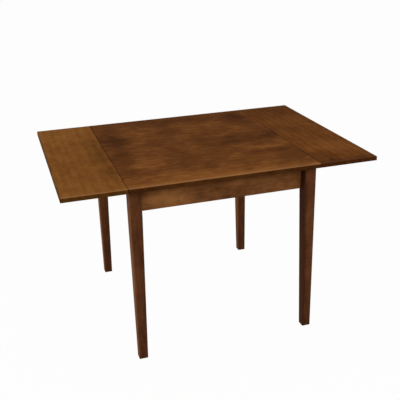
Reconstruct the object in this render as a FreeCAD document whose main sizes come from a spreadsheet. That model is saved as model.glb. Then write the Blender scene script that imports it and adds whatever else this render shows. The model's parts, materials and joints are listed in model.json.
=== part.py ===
import FreeCAD, Part
import os
import Sketcher

# A drop-leaf dining table: a fixed centre panel on four tapered legs and a mitred apron frame,
# with a hinged leaf at each end. Three butt hinges carry each leaf from below, and two
# parallel-link stays hold it. X runs along the table, -Y is the front, Z is up, in millimetres.

# Driving dimensions: name, value in millimetres, what it measures
SIZES = [
    ("table_height", 720, "floor to the upper face of the top"),
    ("table_depth", 850, "front edge to back edge of the top"),
    ("slab_thickness", 16, "thickness of the three panels of the top"),
    ("slab_round", 2, "rounding of the outer edges of the top"),
    ("centre_length", 732, "length of the fixed centre panel"),
    ("leaf_length", 233, "length of one leaf"),
    ("joint_gap", 1, "gap between the centre panel and a leaf"),
    ("leg_end_inset", 4, "end edge of the centre panel to the outer end face of a leg"),
    ("leg_side_inset", 34, "long edge of the centre panel to the outer side face of a leg"),
    ("leg_top", 46, "width of the square leg along the apron"),
    ("leg_foot", 34, "width of the square leg at the floor"),
    ("leg_round", 2, "rounding of the long edges of a leg"),
    ("taper_gap", 10, "lower edge of the apron to the start of the taper"),
    ("glide_radius", 11, "radius of a foot glide"),
    ("glide_thickness", 2, "thickness of a foot glide"),
    ("glide_pin_radius", 1.5, "radius of the pin of a foot glide"),
    ("glide_pin_length", 14, "length of the pin of a foot glide"),
    ("apron_height", 100, "height of the aprons"),
    ("apron_thickness", 18, "thickness of the aprons"),
    ("apron_lap", 10, "how much of an apron's end bears on the leg"),
    ("brace_reach", 70, "length of a corner brace along each apron"),
    ("brace_thickness", 22, "thickness of a corner brace"),
    ("brace_height", 60, "height of a corner brace"),
    ("brace_drop", 16, "underside of the top to the upper face of a brace"),
    ("brace_screw_setback", 12, "end of a brace to its screws"),
    ("brace_screw_pitch", 34, "height between the two screws at one end of a brace"),
    ("brace_screw_seat", 5, "wood left under the head of a brace screw"),
    ("bolt_radius", 4, "radius of a hanger bolt"),
    ("bolt_grip", 28, "depth of a hanger bolt in the leg"),
    ("bolt_pitch", 30, "height between the two hanger bolts of a leg"),
    ("bolt_tail", 3, "length of a hanger bolt past its nut"),
    ("washer_radius", 9, "radius of a washer"),
    ("washer_thickness", 1.6, "thickness of a washer"),
    ("nut_corner_radius", 7.5, "radius of a nut at its corners"),
    ("nut_height", 6.5, "height of a nut"),
    ("angle_flange", 26, "length of each flange of a top bracket"),
    ("angle_width", 20, "width of a top bracket"),
    ("angle_plate", 3, "thickness of a top bracket"),
    ("angle_gap", 12, "end of a corner brace to the top bracket beside it"),
    ("screw_radius", 2, "radius of the shank of a wood screw"),
    ("screw_head_radius", 4, "radius of the head of a wood screw"),
    ("screw_head_height", 2.2, "height of the head of a wood screw"),
    ("screw_length", 16, "length of a wood screw over its head"),
    ("screw_fit", 0.05, "clearance around screws, bolts and pins in wood and plates"),
    ("hinge_leg_gap", 23, "inner face of a leg to the hinge beside it"),
    ("hinge_width", 64, "length of a hinge along its pin"),
    ("hinge_reach", 30, "pin of a hinge to the far edge of its plates"),
    ("hinge_plate", 1.6, "thickness of the hinge plates"),
    ("hinge_drop", 3, "underside of the top to the hinge pins"),
    ("knuckle_radius", 2.7, "outer radius of the hinge knuckles"),
    ("knuckle_gap", 0.3, "clearance beside the hinge knuckles"),
    ("pin_radius", 1.5, "radius of a hinge pin"),
    ("pin_fit", 0.05, "clearance around hinge pins and rivets"),
    ("hinge_screw_radius", 1.5, "radius of the shank of a hinge screw"),
    ("hinge_screw_head_radius", 3, "radius of the head of a hinge screw"),
    ("hinge_screw_head_height", 1.5, "height of the head of a hinge screw"),
    ("hinge_screw_length", 13, "length of a hinge screw over its head"),
    ("hinge_screw_pitch", 21, "distance between the screws of a hinge plate"),
    ("hinge_screw_setback", 17, "pin of a hinge to its screws"),
    ("stay_hinge_gap", 88, "outer hinge to the stay beside it"),
    ("stay_plate", 3, "thickness of the arms, links and brackets of a stay"),
    ("stay_gap", 0.3, "clearance between the moving layers of a stay"),
    ("stay_width", 16, "width of the arms and links"),
    ("stay_back", 20, "hinge pin to the frame pivot, along X"),
    ("stay_drop", 26, "hinge pin to the frame pivot, along Z"),
    ("stay_reach", 110, "hinge pin to the leaf pivot, along X"),
    ("stay_hang", 12, "hinge pin to the leaf pivot, along Z"),
    ("rivet_radius", 3, "radius of the shank of a rivet"),
    ("rivet_head_radius", 5, "radius of the heads of a rivet"),
    ("rivet_head_height", 1.6, "height of the heads of a rivet"),
    ("bracket_width", 44, "width of the foot of a stay bracket, across its ear"),
    ("bracket_length", 36, "length of the foot of a stay bracket, along its ear"),
    ("bracket_screw_pitch", 28, "distance between the two screws of a stay bracket"),
]

doc = FreeCAD.newDocument("DropLeafTable")
sheet = doc.addObject("Spreadsheet::Sheet", "Sizes")
for row, (alias, value, meaning) in enumerate(SIZES, start=1):
    sheet.set(f"A{row}", meaning)
    sheet.set(f"B{row}", str(value))
    sheet.setAlias(f"B{row}", alias)
doc.recompute()

# Places worked out from the driving dimensions, as expressions
UNDERSIDE = "(Sizes.table_height - Sizes.slab_thickness)"
HINGE_X = "(Sizes.centre_length / 2 + Sizes.joint_gap / 2)"
HINGE_Z = f"({UNDERSIDE} - Sizes.hinge_drop)"
LEG_X = "(Sizes.centre_length / 2 - Sizes.leg_end_inset)"
LEG_Y = "(Sizes.table_depth / 2 - Sizes.leg_side_inset)"
LEG_INNER_X = f"({LEG_X} - Sizes.leg_top)"
LEG_INNER_Y = f"({LEG_Y} - Sizes.leg_top)"
APRON_X = f"({LEG_INNER_X} + Sizes.apron_lap)"
APRON_Y = f"({LEG_INNER_Y} + Sizes.apron_lap)"
APRON_BACK_X = f"({APRON_X} - Sizes.apron_thickness)"
APRON_BACK_Y = f"({APRON_Y} - Sizes.apron_thickness)"
APRON_Z = f"({UNDERSIDE} - Sizes.apron_height)"
TAPER_Z = f"({APRON_Z} - Sizes.taper_gap)"
BRACE_Z = f"({UNDERSIDE} - Sizes.brace_drop - Sizes.brace_height)"
BRACE_MID_Z = f"({BRACE_Z} + Sizes.brace_height / 2)"
HINGE_Y = f"({LEG_INNER_Y} - Sizes.hinge_leg_gap - Sizes.hinge_width / 2)"
STAY_Y = f"({HINGE_Y} - Sizes.hinge_width / 2 - Sizes.stay_hinge_gap)"
FRAME_PIVOT_X = f"({HINGE_X} - Sizes.stay_back)"
FRAME_PIVOT_Z = f"({HINGE_Z} - Sizes.stay_drop)"
LEAF_PIVOT_X = f"({HINGE_X} + Sizes.stay_reach)"
LEAF_PIVOT_Z = f"({HINGE_Z} - Sizes.stay_hang)"
KNEE_X = f"({LEAF_PIVOT_X} - Sizes.stay_back)"
KNEE_Z = f"({LEAF_PIVOT_Z} - Sizes.stay_drop)"
LAYER = "(Sizes.stay_plate + Sizes.stay_gap)"

X_AXIS = FreeCAD.Vector(1, 0, 0)
Y_AXIS = FreeCAD.Vector(0, 1, 0)
Z_AXIS = FreeCAD.Vector(0, 0, 1)
# Turns that bring local +Z to a direction of the table
ALONG = {
    "+X": FreeCAD.Rotation(Y_AXIS, 90),
    "-X": FreeCAD.Rotation(Y_AXIS, -90),
    "+Y": FreeCAD.Rotation(X_AXIS, -90),
    "-Y": FreeCAD.Rotation(X_AXIS, 90),
    "+Z": FreeCAD.Rotation(),
    "-Z": FreeCAD.Rotation(X_AXIS, 180),
}
# Corners of the frame: name, sign of X, sign of Y, turn about Z from the front left corner
CORNERS = [
    ("front_left", -1, -1, 0),
    ("front_right", 1, -1, 90),
    ("back_right", 1, 1, 180),
    ("back_left", -1, 1, 270),
]
# Ends of the table: name, sign of X, turn about Z from the left end
ENDS = [("left", -1, 0), ("right", 1, 180)]
SIDES = (-1, 1)

nodes = []


def node(obj, label):
    """Marks an object as a sub-part under its own label."""
    obj.Label = label
    nodes.append(obj)
    return obj


def place(obj, x, y, z, turn=None):
    """Turns an object and binds its position to three expressions."""
    if turn is not None:
        obj.Placement = FreeCAD.Placement(FreeCAD.Vector(), turn)
    for axis, expression in zip("xyz", (x, y, z)):
        obj.setExpression(f"Placement.Base.{axis}", expression)
    return obj


def box(name, size, middle):
    """A box with its three sizes and its middle given as expressions."""
    obj = doc.addObject("Part::Box", name)
    for side, expression in zip(("Length", "Width", "Height"), size):
        obj.setExpression(side, expression)
    corner = [f"{at} - ({length}) / 2" for at, length in zip(middle, size)]
    return place(obj, *corner)


def rod(name, radius, length, start=("0", "0", "0"), direction="+Z"):
    """A cylinder from a start point along a direction."""
    obj = doc.addObject("Part::Cylinder", name)
    obj.setExpression("Radius", radius)
    obj.setExpression("Height", length)
    return place(obj, *start, ALONG[direction])


def cone(name, start_radius, end_radius, length):
    """A cone that stands on the origin along +Z."""
    obj = doc.addObject("Part::Cone", name)
    obj.setExpression("Radius1", start_radius)
    obj.setExpression("Radius2", end_radius)
    obj.setExpression("Height", length)
    return obj


def fuse(name, pieces):
    """Several pieces as one solid."""
    obj = doc.addObject("Part::MultiFuse", name)
    obj.Shapes = pieces
    obj.Refine = True
    return obj


def group(name, pieces):
    """Several separate solids under one name."""
    obj = doc.addObject("Part::Compound", name)
    obj.Links = pieces
    return obj


def cut(name, base, tools):
    """A piece with holes, made by taking away each of the tools."""
    for count, tool in enumerate(tools, start=1):
        obj = doc.addObject("Part::Cut", f"{name}_cut_{count}")
        obj.Base = base
        obj.Tool = tool
        base = obj
    return base


def copy_of(master, x, y, z, turn=None):
    """A linked copy of a master piece at a place given by expressions."""
    obj = doc.addObject("App::Link", f"{master.Name}_copy")
    obj.LinkedObject = master
    return place(obj, x, y, z, turn)


def copies(name, master, places):
    """A group of linked copies, one at each (x, y, z, turn)."""
    return group(name, [copy_of(master, *spot) for spot in places])


def outline(body, name, points, height="0"):
    """A closed sketch of straight lines on the body's XY plane, its corners bound to expressions."""
    sketch = body.newObject("Sketcher::SketchObject", name)
    plane = next(item for item in body.Origin.OriginFeatures if item.Role == "XY_Plane")
    sketch.AttachmentSupport = [(plane, "")]
    sketch.MapMode = "FlatFace"
    sketch.setExpression("AttachmentOffset.Base.z", height)
    corners = [FreeCAD.Vector(*[float(sheet.evalExpression(e)) for e in point]) for point in points]
    count = len(corners)
    for index in range(count):
        sketch.addGeometry(Part.LineSegment(corners[index], corners[(index + 1) % count]), False)
    for index in range(count):
        sketch.addConstraint(Sketcher.Constraint("Coincident", index, 2, (index + 1) % count, 1))
    for index, point in enumerate(points):
        for kind, value, expression in zip(("DistanceX", "DistanceY"), corners[index], point):
            number = sketch.addConstraint(Sketcher.Constraint(kind, -1, 1, index, 1, value))
            sketch.renameConstraint(number, f"{kind}{index}")
            sketch.setExpression(f"Constraints.{kind}{index}", expression)
    return sketch


def rectangle(body, name, left, front, right, back, height="0"):
    """A sketched rectangle between four expressions."""
    points = [(left, front), (right, front), (right, back), (left, back)]
    return outline(body, name, points, height)


def pad(body, name, sketch, length):
    """A sketch pushed out along +Z."""
    feature = body.newObject("PartDesign::Pad", name)
    feature.Profile = sketch
    feature.setExpression("Length", length)
    doc.recompute()
    return feature


def round_edges(body, name, base, radius, wanted):
    """Rounds the edges of a feature for which wanted(edge) holds."""
    feature = body.newObject("PartDesign::Fillet", name)
    edges = [f"Edge{i}" for i, edge in enumerate(base.Shape.Edges, start=1) if wanted(edge)]
    feature.Base = (base, edges)
    feature.setExpression("Radius", radius)
    doc.recompute()
    return feature


def upright(edge):
    """Tells whether an edge runs up rather than along the floor."""
    box_of_edge = edge.BoundBox
    return box_of_edge.ZLength > max(box_of_edge.XLength, box_of_edge.YLength)


# Fasteners: each master stands on the origin and points along +Z, and its bore is a little larger
def screw_master(name, prefix):
    """A countersunk screw, with the upper face of its head on the origin, and its bore."""
    radius = f"Sizes.{prefix}_radius"
    head_radius = f"Sizes.{prefix}_head_radius"
    head_height = f"Sizes.{prefix}_head_height"
    length = f"Sizes.{prefix}_length"
    fit = "Sizes.screw_fit"
    head = cone(f"{name}_head", head_radius, radius, head_height)
    shank = rod(f"{name}_shank", radius, length)
    sink = cone(f"{name}_sink", f"{head_radius} + {fit}", f"{radius} + {fit}", head_height)
    hole = rod(f"{name}_hole", f"{radius} + {fit}", f"{length} + {fit}")
    return fuse(name, [head, shank]), fuse(f"{name}_bore", [sink, hole])


wood_screw, wood_screw_bore = screw_master("wood_screw", "screw")
hinge_screw, hinge_screw_bore = screw_master("hinge_screw", "hinge_screw")


def fasteners(label, screw, bore, places):
    """A node of identical screws; returns the group of bores that they need."""
    node(copies(f"{label}_group", screw, places), label)
    return copies(f"{label}_bores", bore, places)


# Foot glides: a disc under each leg with a pin up into the wood
GLIDE_AT = [
    (
        f"{sx} * ({LEG_X} - Sizes.leg_foot / 2)",
        f"{sy} * ({LEG_Y} - Sizes.leg_foot / 2)",
        "0",
    )
    for _, sx, sy, _ in CORNERS
]
glide_pin_top = "Sizes.glide_thickness + Sizes.glide_pin_length"
glide = fuse(
    "glide",
    [
        rod("glide_disc", "Sizes.glide_radius", "Sizes.glide_thickness"),
        rod("glide_pin", "Sizes.glide_pin_radius", glide_pin_top),
    ],
)
glide_bore = rod(
    "glide_bore", "Sizes.glide_pin_radius + Sizes.screw_fit", f"{glide_pin_top} + Sizes.screw_fit"
)
node(copies("foot_glide_group", glide, GLIDE_AT), "foot_glides")
glide_bores = copies("glide_bores", glide_bore, GLIDE_AT)

# Hanger bolts: two across each corner, from the leg through the mitre and the brace to a nut
BRACE_FACE = "(Sizes.brace_reach / 2)"
bolt_run = (
    "(sqrt(2) * (Sizes.apron_thickness - Sizes.apron_lap) + Sizes.brace_reach / sqrt(2)"
    " + Sizes.washer_thickness + Sizes.nut_height + Sizes.bolt_tail)"
)
bolt = rod("hanger_bolt", "Sizes.bolt_radius", f"Sizes.bolt_grip + {bolt_run}")
bolt_bore = rod(
    "hanger_bolt_bore", "Sizes.bolt_radius + Sizes.screw_fit", f"Sizes.bolt_grip + {bolt_run}"
)
washer_disc = rod("washer_disc", "Sizes.washer_radius", "Sizes.washer_thickness")
nut_block = doc.addObject("Part::Prism", "nut_block")
nut_block.Polygon = 6
nut_block.setExpression("Circumradius", "Sizes.nut_corner_radius")
nut_block.setExpression("Height", "Sizes.nut_height")
washer = cut("washer", washer_disc, [bolt_bore])
nut = cut("nut", nut_block, [bolt_bore])


def across_corner(depth_x, depth_y):
    """Places along the diagonal of each corner, two bolts high, pointing into the table."""
    spots = []
    for _, sx, sy, turn in CORNERS:
        inward = FreeCAD.Rotation(Z_AXIS, turn + 45) * ALONG["+X"]
        for level in SIDES:
            height = f"{BRACE_MID_Z} + {level} * Sizes.bolt_pitch / 2"
            spots.append((f"{sx} * {depth_x}", f"{sy} * {depth_y}", height, inward))
    return spots


grip = "Sizes.bolt_grip / sqrt(2)"
seat_out = "Sizes.washer_thickness / sqrt(2)"
BOLT_AT = across_corner(f"({LEG_INNER_X} + {grip})", f"({LEG_INNER_Y} + {grip})")
WASHER_AT = across_corner(f"({APRON_BACK_X} - {BRACE_FACE})", f"({APRON_BACK_Y} - {BRACE_FACE})")
NUT_AT = across_corner(
    f"({APRON_BACK_X} - {BRACE_FACE} - {seat_out})", f"({APRON_BACK_Y} - {BRACE_FACE} - {seat_out})"
)
node(copies("hanger_bolt_group", bolt, BOLT_AT), "hanger_bolts")
node(copies("washer_group", washer, WASHER_AT), "bolt_washers")
node(copies("nut_group", nut, NUT_AT), "bolt_nuts")
bolt_bores = copies("bolt_bores", bolt_bore, BOLT_AT)


# Corner braces: a block across each corner of the frame, with a free space behind it
def brace(label, sx, sy, turn, tools):
    """One corner brace, sketched with the inner corner of the aprons on the origin."""
    body = doc.addObject("PartDesign::Body", f"{label}_body")
    hollow = "(Sizes.brace_reach - Sizes.brace_thickness * sqrt(2))"
    points = [
        (hollow, "0"),
        ("Sizes.brace_reach", "0"),
        ("0", "Sizes.brace_reach"),
        ("0", hollow),
    ]
    pad(body, f"{label}_pad", outline(body, f"{label}_sketch", points), "Sizes.brace_height")
    turn_in = FreeCAD.Rotation(Z_AXIS, turn)
    place(body, f"{sx} * {APRON_BACK_X}", f"{sy} * {APRON_BACK_Y}", BRACE_Z, turn_in)
    node(cut(label, body, tools), label)


# Brace screws: two through each end of a brace, sunk into it and driven into the apron
sunk_bore = fuse(
    "sunk_bore",
    [
        copy_of(wood_screw_bore, "0", "0", "0"),
        rod(
            "sunk_shaft",
            "Sizes.screw_head_radius + Sizes.screw_fit",
            "Sizes.brace_reach",
            ("0", "0", "0"),
            "-Z",
        ),
    ],
)
BRACE_SCREW_AT = []
screw_lift = "(Sizes.brace_screw_seat + Sizes.screw_head_height)"
screw_along = "(Sizes.brace_reach - Sizes.brace_screw_setback)"
for _, sx, sy, _ in CORNERS:
    to_end = ALONG["+X" if sx > 0 else "-X"]
    to_side = ALONG["+Y" if sy > 0 else "-Y"]
    for level in SIDES:
        height = f"{BRACE_MID_Z} + {level} * Sizes.brace_screw_pitch / 2"
        BRACE_SCREW_AT.append((
            f"{sx} * ({APRON_BACK_X} - {screw_along})",
            f"{sy} * ({APRON_BACK_Y} - {screw_lift})",
            height,
            to_side,
        ))
        BRACE_SCREW_AT.append((
            f"{sx} * ({APRON_BACK_X} - {screw_lift})",
            f"{sy} * ({APRON_BACK_Y} - {screw_along})",
            height,
            to_end,
        ))
brace_screw_bores = fasteners("brace_screws", wood_screw, sunk_bore, BRACE_SCREW_AT)
for corner, sx, sy, turn in CORNERS:
    brace(f"{corner}_brace", sx, sy, turn, [bolt_bores, brace_screw_bores])

# Top brackets: steel angles that hold the centre panel down to the aprons
angle_blank = fuse(
    "angle_blank",
    [
        box(
            "angle_upper",
            ("Sizes.angle_flange", "Sizes.angle_width", "Sizes.angle_plate"),
            ("Sizes.angle_flange / 2", "0", "-Sizes.angle_plate / 2"),
        ),
        box(
            "angle_side",
            ("Sizes.angle_plate", "Sizes.angle_width", "Sizes.angle_flange"),
            ("Sizes.angle_plate / 2", "0", "-Sizes.angle_flange / 2"),
        ),
    ],
)
angle_hole = "(Sizes.angle_flange / 2 + Sizes.angle_plate / 2)"
angle = cut(
    "angle",
    angle_blank,
    [
        copy_of(wood_screw_bore, angle_hole, "0", "-Sizes.angle_plate", ALONG["+Z"]),
        copy_of(wood_screw_bore, "Sizes.angle_plate", "0", f"-{angle_hole}", ALONG["-X"]),
    ],
)
# Spots of the brackets: X, Y and turn about Z, with the angle's flange along local +X
ANGLE_X = f"({APRON_BACK_X} - Sizes.brace_reach - Sizes.angle_gap - Sizes.angle_width / 2)"
ANGLE_AT = [(f"-{APRON_BACK_X}", "0", 0), (APRON_BACK_X, "0", 180)]
for side in SIDES:
    ANGLE_AT.append((f"{side} * {ANGLE_X}", f"-{APRON_BACK_Y}", 90))
    ANGLE_AT.append((f"{side} * {ANGLE_X}", APRON_BACK_Y, 270))
ANGLE_WAYS = {0: (1, 0, "-X"), 90: (0, 1, "-Y"), 180: (-1, 0, "+X"), 270: (0, -1, "+Y")}
ANGLE_SCREW_AT = []
for x, y, turn in ANGLE_AT:
    way_x, way_y, to_apron = ANGLE_WAYS[turn]
    ANGLE_SCREW_AT.append((
        f"{x} + {way_x} * {angle_hole}",
        f"{y} + {way_y} * {angle_hole}",
        f"{UNDERSIDE} - Sizes.angle_plate",
        ALONG["+Z"],
    ))
    ANGLE_SCREW_AT.append((
        f"{x} + {way_x} * Sizes.angle_plate",
        f"{y} + {way_y} * Sizes.angle_plate",
        f"{UNDERSIDE} - {angle_hole}",
        ALONG[to_apron],
    ))
ANGLE_PLACES = [(x, y, UNDERSIDE, FreeCAD.Rotation(Z_AXIS, turn)) for x, y, turn in ANGLE_AT]
node(copies("top_bracket_group", angle, ANGLE_PLACES), "top_brackets")
top_bracket_bores = fasteners("top_bracket_screws", wood_screw, wood_screw_bore, ANGLE_SCREW_AT)


# Legs: square along the apron, then tapered on the two inner faces down to the foot
def leg(label, sx, sy, turn):
    """One leg, sketched with its outer corner on the origin and its inner faces at +X and +Y."""
    body = doc.addObject("PartDesign::Body", f"{label}_body")
    shoulder = rectangle(
        body, f"{label}_shoulder", "0", "0", "Sizes.leg_top", "Sizes.leg_top", TAPER_Z
    )
    foot = rectangle(
        body, f"{label}_foot", "0", "0", "Sizes.leg_foot", "Sizes.leg_foot", "Sizes.glide_thickness"
    )
    pad(body, f"{label}_block", shoulder, f"{UNDERSIDE} - {TAPER_Z}")
    taper = body.newObject("PartDesign::AdditiveLoft", f"{label}_taper")
    taper.Profile = foot
    taper.Sections = [shoulder]
    taper.Ruled = True
    doc.recompute()
    round_edges(body, f"{label}_round", taper, "Sizes.leg_round", upright)
    place(body, f"{sx} * {LEG_X}", f"{sy} * {LEG_Y}", "0", FreeCAD.Rotation(Z_AXIS, turn))
    node(cut(label, body, [bolt_bores, glide_bores]), label)


for corner, sx, sy, turn in CORNERS:
    leg(f"{corner}_leg", sx, sy, turn)


# Hinges: a plate under the centre panel, a plate under the leaf and a pin, three at each end
def hinge_plate(name, knuckles):
    """A hinge plate along +X with its pin on the Y axis; knuckles are (start, end) along Y."""
    inner = "(Sizes.knuckle_radius + Sizes.knuckle_gap)"
    rise = "(Sizes.hinge_drop - Sizes.hinge_plate / 2)"
    pieces = [
        box(
            f"{name}_plate",
            (f"Sizes.hinge_reach - {inner}", "Sizes.hinge_width", "Sizes.hinge_plate"),
            (f"(Sizes.hinge_reach + {inner}) / 2", "0", rise),
        )
    ]
    for index, (start, end) in enumerate(knuckles, start=1):
        length = f"({end} - ({start}))"
        middle = f"({start} + {end}) / 2"
        strap_size = (inner, length, "Sizes.hinge_plate")
        pieces.append(box(f"{name}_strap_{index}", strap_size, (f"{inner} / 2", middle, rise)))
        pieces.append(
            rod(f"{name}_knuckle_{index}", "Sizes.knuckle_radius", length, ("0", start, "0"), "+Y")
        )
    tools = [pin_bore]
    for step in (-1, 0, 1):
        lower_face = "Sizes.hinge_drop - Sizes.hinge_plate"
        along = f"{step} * Sizes.hinge_screw_pitch"
        tools.append(copy_of(hinge_screw_bore, "Sizes.hinge_screw_setback", along, lower_face))
    return cut(name, fuse(f"{name}_blank", pieces), tools)


half_width = "(Sizes.hinge_width / 2)"
knuckle_end = "(Sizes.hinge_width / 6 - Sizes.knuckle_gap / 2)"
knuckle_start = "(Sizes.hinge_width / 6 + Sizes.knuckle_gap / 2)"
hinge_pin = rod("hinge_pin", "Sizes.pin_radius", "Sizes.hinge_width")
pin_bore = rod(
    "pin_bore",
    "Sizes.pin_radius + Sizes.pin_fit",
    "2 * Sizes.hinge_width",
    ("0", "-Sizes.hinge_width", "0"),
    "+Y",
)
frame_plate = hinge_plate(
    "frame_plate", [(f"-{half_width}", f"-{knuckle_start}"), (knuckle_start, half_width)]
)
leaf_plate = hinge_plate("leaf_plate", [(f"-{knuckle_end}", knuckle_end)])

# Stays: from the end apron outwards each has a bracket, an arm, a link and a leaf bracket, in four
# layers along Y. Hinge pin, frame pivot, leaf pivot and knee are the corners of a parallelogram.
rivet_length = f"2 * {LAYER}"
rivet = fuse(
    "rivet",
    [
        rod("rivet_shank", "Sizes.rivet_radius", rivet_length),
        rod("rivet_head", "Sizes.rivet_head_radius", "Sizes.rivet_head_height", direction="-Z"),
        rod(
            "rivet_tail",
            "Sizes.rivet_head_radius",
            "Sizes.rivet_head_height",
            ("0", "0", rivet_length),
        ),
    ],
)
rivet_bore = rod("rivet_bore", "Sizes.rivet_radius + Sizes.pin_fit", "2 * Sizes.stay_plate")


def bar(name, length):
    """A flat bar along +X with round ends and a bore at each end, between Y 0 and its thickness."""
    ends = ("0", length)
    pieces = [
        box(
            f"{name}_middle",
            (length, "Sizes.stay_plate", "Sizes.stay_width"),
            (f"{length} / 2", "Sizes.stay_plate / 2", "0"),
        )
    ]
    for index, at in enumerate(ends, start=1):
        pieces.append(
            rod(f"{name}_end_{index}", "Sizes.stay_width / 2", "Sizes.stay_plate", (at, "0", "0"), "+Y")
        )
    tools = [copy_of(rivet_bore, at, "-Sizes.stay_plate / 2", "0", ALONG["+Y"]) for at in ends]
    return cut(name, fuse(f"{name}_blank", pieces), tools)


def bracket(name, rise):
    """A stay bracket with its foot on the XY plane and its pivot at height rise, along local +Z."""
    foot = box(
        f"{name}_foot",
        ("Sizes.bracket_length", "Sizes.bracket_width", "Sizes.stay_plate"),
        ("0", "0", "Sizes.stay_plate / 2"),
    )
    ear = box(f"{name}_ear", ("Sizes.stay_width", "Sizes.stay_plate", rise), ("0", "0", f"{rise} / 2"))
    eye = rod(
        f"{name}_eye",
        "Sizes.stay_width / 2",
        "Sizes.stay_plate",
        ("0", "-Sizes.stay_plate / 2", rise),
        "+Y",
    )
    tools = [copy_of(rivet_bore, "0", "-Sizes.stay_plate", rise, ALONG["+Y"])]
    for side in SIDES:
        along = f"{side} * Sizes.bracket_screw_pitch / 2"
        tools.append(copy_of(wood_screw_bore, "0", along, "Sizes.stay_plate", ALONG["-Z"]))
    return cut(name, fuse(f"{name}_blank", [foot, ear, eye]), tools)


# Lengths and slopes of the stays, and how far their pivots stand off what carries the brackets
ARM_LENGTH = "sqrt(Sizes.stay_reach ^ 2 + Sizes.stay_hang ^ 2)"
ARM_SLOPE = "atan2(Sizes.stay_hang; Sizes.stay_reach) / 1 deg"
LINK_LENGTH = "sqrt(Sizes.stay_back ^ 2 + Sizes.stay_drop ^ 2)"
LINK_SLOPE = "atan2(Sizes.stay_drop; Sizes.stay_back) / 1 deg"
FRAME_RISE = f"({FRAME_PIVOT_X} - {APRON_X})"
LEAF_RISE = "(Sizes.hinge_drop + Sizes.stay_hang)"
arm = bar("arm", ARM_LENGTH)
link = bar("link", LINK_LENGTH)
frame_bracket = bracket("frame_bracket", FRAME_RISE)
leaf_bracket = bracket("leaf_bracket", LEAF_RISE)


def layer(side, number):
    """The lower Y of one layer of the stay on a side of the table."""
    return f"({side} * {STAY_Y} + {number} * {LAYER})"


def swung(master, x, y, z, angle):
    """A linked copy turned about Y by an angle that is an expression in degrees."""
    obj = copy_of(master, x, y, z, FreeCAD.Rotation(Y_AXIS, 1))
    obj.setExpression("Placement.Rotation.Angle", angle)
    return obj


centre_bores = [top_bracket_bores]
end_apron_bores = {}


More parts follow.
